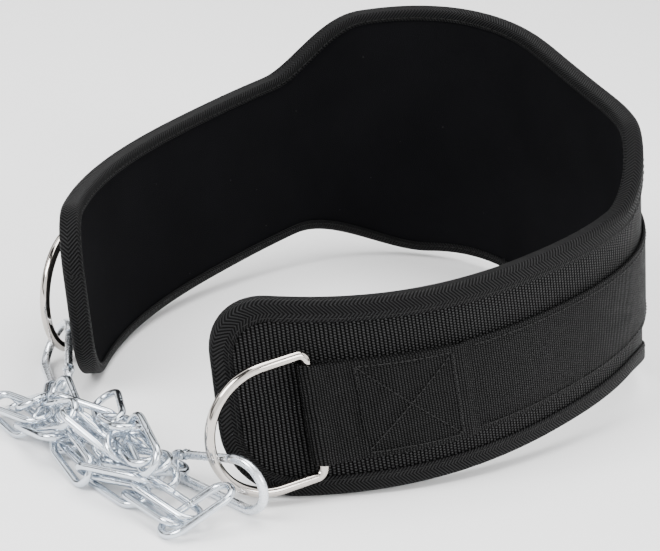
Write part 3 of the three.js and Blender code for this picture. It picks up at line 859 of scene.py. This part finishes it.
def box_seams(end, low, high):
    """The box with a cross in it that closes the loop of a strap end."""
    near = end["side"] * (end["bar_at"] - BOX_FROM_BAR)
    far = end["side"] * (end["bar_at"] - STRAP_TAIL + BOX_FROM_TAIL)
    return [
        ((near, low), (near, high)),
        ((far, low), (far, high)),
        ((near, low), (far, low)),
        ((near, high), (far, high)),
        ((near, low), (far, high)),
        ((near, high), (far, low)),
    ]


def strap_runs():
    """The strap's long seams, the boxes at its ends and the two cross seams on each side."""
    lower_top = LOWER_LAYER + STRAP_THICKNESS / 2
    upper_top = UPPER_LAYER + STRAP_THICKNESS / 2
    low = STRAP_HEIGHT - STRAP_WIDTH / 2 + SEAM_INSET
    high = STRAP_HEIGHT + STRAP_WIDTH / 2 - SEAM_INSET
    right_join, left_join = (end["bar_at"] - STRAP_TAIL for end in ENDS)
    runs = []
    for v in (low, high):
        seam_ends = (-left_join + LONG_SEAM_END, v), (right_join - LONG_SEAM_END, v)
        runs.append(belt_run(straight(*seam_ends, LONG_SEAM_POINTS), lower_top))
    for end in ENDS:
        for a, b in box_seams(end, low, high):
            runs.append(belt_run(straight(a, b), upper_top))
    for s in CROSS_SEAMS:
        runs.append(belt_run(straight((s, low), (s, high)), lower_top))
    return runs


tape_thread = stitches("tape_stitching", tape_runs(), **TAPE_THREAD, slot="binding")
strap_thread = stitches("strap_stitching", strap_runs(), **STRAP_THREAD, slot="webbing")


# Materials

# Sockets of a Mix node in colour mode: factor, A and B, and the result
MIX_COLOUR_INPUTS = (0, 6, 7)
MIX_COLOUR_OUTPUT = 2


class Graph:
    """A material's node tree, with short calls for the nodes that are used here."""

    def __init__(self, name):
        self.material = bpy.data.materials.new(name)
        self.material.use_nodes = True
        self.tree = self.material.node_tree
        self.shader = next(n for n in self.tree.nodes if n.type == "BSDF_PRINCIPLED")

    def put(self, socket, value):
        """Link another node's output, or set a plain value."""
        if isinstance(value, bpy.types.NodeSocket):
            self.tree.links.new(value, socket)
        else:
            socket.default_value = value

    def set(self, **values):
        """Inputs of the shader, by their names with _ for a space."""
        for name, value in values.items():
            self.put(self.shader.inputs[name.replace("_", " ")], value)

    def math(self, operation, a, b=0.0):
        """The result of one Math node."""
        node = self.tree.nodes.new("ShaderNodeMath")
        node.operation = operation
        self.put(node.inputs[0], a)
        self.put(node.inputs[1], b)
        return node.outputs[0]

    def uv(self):
        """u, v and both together, in millimetres on the cloth."""
        node = self.tree.nodes.new("ShaderNodeUVMap")
        node.uv_map = "UVMap"
        split = self.tree.nodes.new("ShaderNodeSeparateXYZ")
        self.tree.links.new(node.outputs[0], split.inputs[0])
        return split.outputs[0], split.outputs[1], node.outputs[0]

    def place(self):
        """The point in the object's own metres."""
        return self.tree.nodes.new("ShaderNodeTexCoord").outputs["Object"]

    def noise(self, vector, scale, detail=3.0, roughness=0.5):
        """Smooth noise from 0 to 1."""
        node = self.tree.nodes.new("ShaderNodeTexNoise")
        self.put(node.inputs["Vector"], vector)
        node.inputs["Scale"].default_value = scale
        node.inputs["Detail"].default_value = detail
        node.inputs["Roughness"].default_value = roughness
        return node.outputs[0]

    def spots(self, vector, scale, size):
        """1 inside small round spots, 0 elsewhere."""
        node = self.tree.nodes.new("ShaderNodeTexVoronoi")
        self.put(node.inputs["Vector"], vector)
        node.inputs["Scale"].default_value = scale
        return self.math("LESS_THAN", node.outputs["Distance"], size)

    def span(self, value, low, high, to_low, to_high):
        """A value between low and high, taken to between to_low and to_high."""
        node = self.tree.nodes.new("ShaderNodeMapRange")
        for socket, given in zip(node.inputs, (value, low, high, to_low, to_high)):
            self.put(socket, given)
        return node.outputs[0]

    def mix(self, factor, a, b):
        """Colour a at 0, colour b at 1."""
        node = self.tree.nodes.new("ShaderNodeMix")
        node.data_type = "RGBA"
        for socket, value in zip(MIX_COLOUR_INPUTS, (factor, a, b)):
            self.put(node.inputs[socket], value)
        return node.outputs[MIX_COLOUR_OUTPUT]

    def bump(self, height, distance, strength=1.0):
        """Relief of a height from 0 to 1, distance in metres."""
        node = self.tree.nodes.new("ShaderNodeBump")
        node.inputs["Strength"].default_value = strength
        node.inputs["Distance"].default_value = distance
        self.put(node.inputs["Height"], height)
        self.put(self.shader.inputs["Normal"], node.outputs[0])

    def weave(self, u, v, pitch_u, pitch_v, groove):
        """Height of a weave, 0 to 1: columns along v of short threads, each column half a thread on.

        The groove is how low the threads' ends lie.
        """
        a = self.math("DIVIDE", u, pitch_u)
        step = self.math("MULTIPLY", self.math("FLOORED_MODULO", self.math("FLOOR", a), 2.0), 0.5)
        b = self.math("ADD", self.math("DIVIDE", v, pitch_v), step)
        column = self.math("ABSOLUTE", self.math("SINE", self.math("MULTIPLY", a, math.pi)))
        row = self.math("ABSOLUTE", self.math("SINE", self.math("MULTIPLY", b, math.pi)))
        row = self.math("ADD", self.math("MULTIPLY", row, 1 - groove), groove)
        return self.math("MULTIPLY", column, row)


def grey(level, blue=1.0):
    """A grey, bluer where blue is over 1."""
    return (level, level, level * blue, 1)


def shell_cloth():
    """Coarse ribbed nylon with glints on the tops of its threads and painted shade in the gaps
    between them.
    """
    g = Graph("shell_cloth")
    u, v, both = g.uv()
    wobble = g.span(g.noise(both, 0.05), 0, 1, -0.6, 0.6)
    across, along = g.math("ADD", u, wobble), g.math("ADD", v, wobble)
    height = g.weave(across, along, pitch_u=2.0, pitch_v=1.4, groove=0.3)
    fibre = g.noise(both, 3.0, 2)
    lift = g.math("ADD", height, g.math("MULTIPLY", fibre, 0.25))
    # Painted shade: the colour is darker in the gaps between the threads, where the weave is low
    painted_gap_shade = g.math("POWER", height, 1.7)
    g.set(
        Base_Color=g.mix(painted_gap_shade, grey(0.0005), grey(0.022, 1.03)),
        Roughness=g.span(fibre, 0, 1, 0.45, 0.7),
        Specular_IOR_Level=g.math("MULTIPLY", painted_gap_shade, 0.28),
    )
    g.bump(lift, 0.0009)
    return g.material


def webbing_cloth():
    """Woven strap with ribs along it, worn places, and painted shade in the gaps between its threads.
    """
    g = Graph("webbing_cloth")
    u, v, both = g.uv()
    wobble = g.span(g.noise(both, 0.08), 0, 1, -0.5, 0.5)
    height = g.weave(g.math("ADD", u, wobble), v, pitch_u=1.5, pitch_v=1.3, groove=0.35)
    rib_width = 2.5
    rib = g.math("ABSOLUTE", g.math("SINE", g.math("MULTIPLY", v, math.pi / rib_width)))
    lift = g.math("ADD", height, g.math("MULTIPLY", rib, 0.3))
    wear = g.noise(both, 0.12, 4)
    # Painted shade in the gaps between the threads, times the real wear noise
    painted_gap_shade = g.math("MULTIPLY", g.math("POWER", height, 1.6), wear)
    g.set(
        Base_Color=g.mix(painted_gap_shade, grey(0.0008), grey(0.021, 1.04)),
        Roughness=g.span(wear, 0, 1, 0.42, 0.7),
        Specular_IOR_Level=g.math("MULTIPLY", height, 0.15),
    )
    g.bump(lift, 0.0008)
    return g.material


def tape_cloth():
    """Herringbone twill, with painted shade in the grooves between its lines."""
    g = Graph("tape_cloth")
    u, v, both = g.uv()
    bone_width = 4.6
    line_pitch = 2.0
    zigzag = g.math("PINGPONG", v, bone_width)
    phase = g.math("MULTIPLY", g.math("ADD", u, zigzag), 2 * math.pi / line_pitch)
    twill = g.math("ADD", g.math("MULTIPLY", g.math("SINE", phase), 0.5), 0.5)
    fibre = g.noise(both, 2.5, 2)
    # Painted shade: the colour is darker in the grooves of the twill, where the bump is low
    g.set(
        Base_Color=g.mix(twill, grey(0.0012), grey(0.009, 1.06)),
        Roughness=g.span(fibre, 0, 1, 0.45, 0.7),
        Specular_IOR_Level=g.span(twill, 0, 1, 0.03, 0.13),
    )
    g.bump(g.math("ADD", twill, g.math("MULTIPLY", fibre, 0.4)), 0.0005)
    return g.material


def lining_cloth():
    """Matt smooth cloth with a few specks of lint."""
    g = Graph("lining_cloth")
    both = g.uv()[2]
    fibre = g.noise(both, 1.6, detail=5, roughness=0.65)
    cloud = g.noise(both, 0.02, 3)
    lint = g.spots(both, scale=0.09, size=0.035)
    plain = g.mix(cloud, grey(0.0028, 1.15), grey(0.0055, 1.15))
    g.set(
        Base_Color=g.mix(g.math("MULTIPLY", lint, 0.5), plain, grey(0.06)),
        Roughness=0.95,
        Specular_IOR_Level=0.02,
    )
    g.bump(g.math("ADD", fibre, g.math("MULTIPLY", cloud, 2.0)), 0.0003)
    return g.material


def thread():
    """Black sewing thread."""
    g = Graph("thread")
    fibre = g.noise(g.place(), 900.0, 2)
    g.set(
        Base_Color=g.mix(fibre, grey(0.0015), grey(0.007)),
        Roughness=g.span(fibre, 0, 1, 0.35, 0.6),
        Specular_IOR_Level=0.2,
    )
    return g.material


def metal(name, colour, rough_low, rough_high, grain, lumps):
    """Plated wire with duller patches; grain is the noise's scale and lumps its depth in metres."""
    g = Graph(name)
    place = g.place()
    broad = g.noise(place, 60.0, 3)
    fine = g.noise(place, grain, 3)
    worn = tuple(c * 0.8 for c in colour[:3]) + (1,)
    g.set(
        Base_Color=g.mix(g.span(broad, 0.35, 0.75, 0, 1), colour, worn),
        Metallic=1.0,
        Roughness=g.span(fine, 0.3, 0.7, rough_low, rough_high),
    )
    g.bump(g.math("ADD", fine, g.math("MULTIPLY", broad, 1.5)), lumps, 0.5)
    return g.material


def dress(objects, material):
    """One material on each of the objects, in place of any that they had."""
    for obj in objects:
        obj.data.materials.clear()
        obj.data.materials.append(material)


dress([pad], lining_cloth())
dress([shell], shell_cloth())
dress([tape], tape_cloth())
dress([webbing], webbing_cloth())
dress([tape_thread, strap_thread], thread())
dress(rings, metal("nickel", (0.58, 0.54, 0.50, 1), 0.05, 0.13, 700.0, 0.00002))
dress(hooks + gates, metal("zinc_hook", (0.80, 0.84, 0.89, 1), 0.2, 0.34, 500.0, 0.00005))
dress(links, metal("zinc_chain", (0.66, 0.71, 0.77, 1), 0.13, 0.26, 450.0, 0.00005))


# Floor, light and camera

FLOOR_HALF = 6.0

# World light: where the noise starts and stops rising, and the light there
WORLD_BANDS = (0.42, 0.52, 0.08, 2.1)
WORLD_SCALE = 1.6
LIGHTS_AIM = (0, 0, 0.06)

# The photo's camera, found by a fit: angles in degrees, place in the belt's millimetres, lens in mm
CAMERA_AZIMUTH = 50.97
CAMERA_ELEVATION = 20.195
CAMERA_ROLL = 8.0
CAMERA_PLACE = (971.859, -923.502, 406.456)
CAMERA_LENS = 134.62
CAMERA_SENSOR = 36


def add_floor():
    """A pale floor, which is staging and no piece of the belt."""
    size = FLOOR_HALF
    corners = [(-size, -size, 0), (size, -size, 0), (size, size, 0), (-size, size, 0)]
    mesh = bpy.data.meshes.new("floor")
    mesh.from_pydata(corners, [], [(0, 1, 2, 3)])
    floor = bpy.data.objects.new("floor", mesh)
    bpy.context.scene.collection.objects.link(floor)
    g = Graph("floor")
    g.set(Base_Color=grey(0.93), Roughness=0.9)
    mesh.materials.append(g.material)


def add_world():
    """A white world in soft bright and dark bands, for the metal to reflect."""
    world = bpy.data.worlds.new("studio")
    world.use_nodes = True
    tree = world.node_tree
    background = next(n for n in tree.nodes if n.type == "BACKGROUND")
    where = tree.nodes.new("ShaderNodeTexCoord").outputs["Generated"]
    bands = tree.nodes.new("ShaderNodeTexNoise")
    bands.inputs["Scale"].default_value = WORLD_SCALE
    bands.inputs["Detail"].default_value = 0.0
    tree.links.new(where, bands.inputs["Vector"])
    ramp = tree.nodes.new("ShaderNodeMapRange")
    for socket, value in zip(list(ramp.inputs)[1:5], WORLD_BANDS):
        socket.default_value = value
    tree.links.new(bands.outputs[0], ramp.inputs[0])
    tree.links.new(ramp.outputs[0], background.inputs["Strength"])
    background.inputs["Color"].default_value = (1, 1, 1, 1)
    bpy.context.scene.world = world


def area_light(name, place, size, power):
    """A square light aimed at the belt: place and size in metres, power in watts."""
    light = bpy.data.lights.new(name, "AREA")
    light.size = size
    light.energy = power
    obj = bpy.data.objects.new(name, light)
    obj.location = place
    aim = Vector(LIGHTS_AIM) - Vector(place)
    obj.rotation_euler = aim.to_track_quat("-Z", "Y").to_euler()
    bpy.context.scene.collection.objects.link(obj)


def camera():
    """The camera that matches the photo."""
    azimuth, elevation, roll = map(math.radians, (CAMERA_AZIMUTH, CAMERA_ELEVATION, CAMERA_ROLL))
    level = math.cos(elevation)
    back = np.array([math.sin(azimuth) * level, -math.cos(azimuth) * level, math.sin(elevation)])
    across = np.array([math.cos(azimuth), math.sin(azimuth), 0])
    up = np.cross(back, across)
    side = math.cos(roll) * across + math.sin(roll) * up
    top = -math.sin(roll) * across + math.cos(roll) * up
    place = (np.array(CAMERA_PLACE) + ORIGIN) / 1000
    data = bpy.data.cameras.new("camera")
    data.sensor_width = CAMERA_SENSOR
    data.lens = CAMERA_LENS
    obj = bpy.data.objects.new("camera", data)
    matrix = Matrix.Identity(4)
    for k, column in enumerate((side, top, back, place)):
        for row in range(3):
            matrix[row][k] = float(column[row])
    obj.matrix_world = matrix
    bpy.context.scene.collection.objects.link(obj)
    bpy.context.scene.camera = obj


add_floor()
add_world()
area_light("key", place=(0.2, -1.7, 1.5), size=1.0, power=60)
area_light("top", place=(0.0, 0.2, 1.9), size=1.4, power=50)
area_light("side", place=(1.7, 0.3, 0.9), size=0.8, power=22)
camera()
